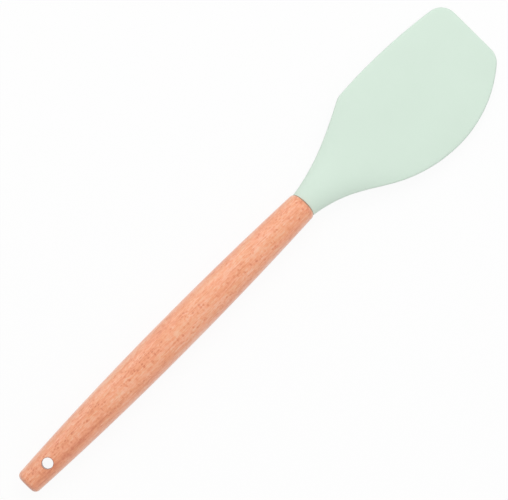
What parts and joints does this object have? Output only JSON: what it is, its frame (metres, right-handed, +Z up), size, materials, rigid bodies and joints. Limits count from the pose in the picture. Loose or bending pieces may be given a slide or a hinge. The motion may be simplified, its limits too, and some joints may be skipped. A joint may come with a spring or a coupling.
{
  "type": "silicone spatula",
  "caption": "Kitchen spatula with a turned beech handle, a drilled hanging hole, and a soft silicone head whose blade is straight on one side and bowed on the other.",
  "frame": {"origin": "middle of the whole spatula in length and width, on the surface that it lies on, face up", "axes": "+X along the handle towards the blade's tip, +Y towards the blade's straight side, +Z up out of the blade's face; the handle's axis is parallel to X"},
  "size_m": [0.33, 0.0628, 0.02],
  "materials": {
    "beech": "oiled and fine sanded",
    "silicone": "matte moulded silicone",
    "stainless": "mill finish",
    "epoxy": "set clear amber"
  },
  "bodies": {
    "root": {"handle": "beech", "silicone_head": "silicone", "core_sheet": "stainless", "tang_rod": "stainless", "tang_adhesive": "epoxy"}
  },
  "joints": []
}
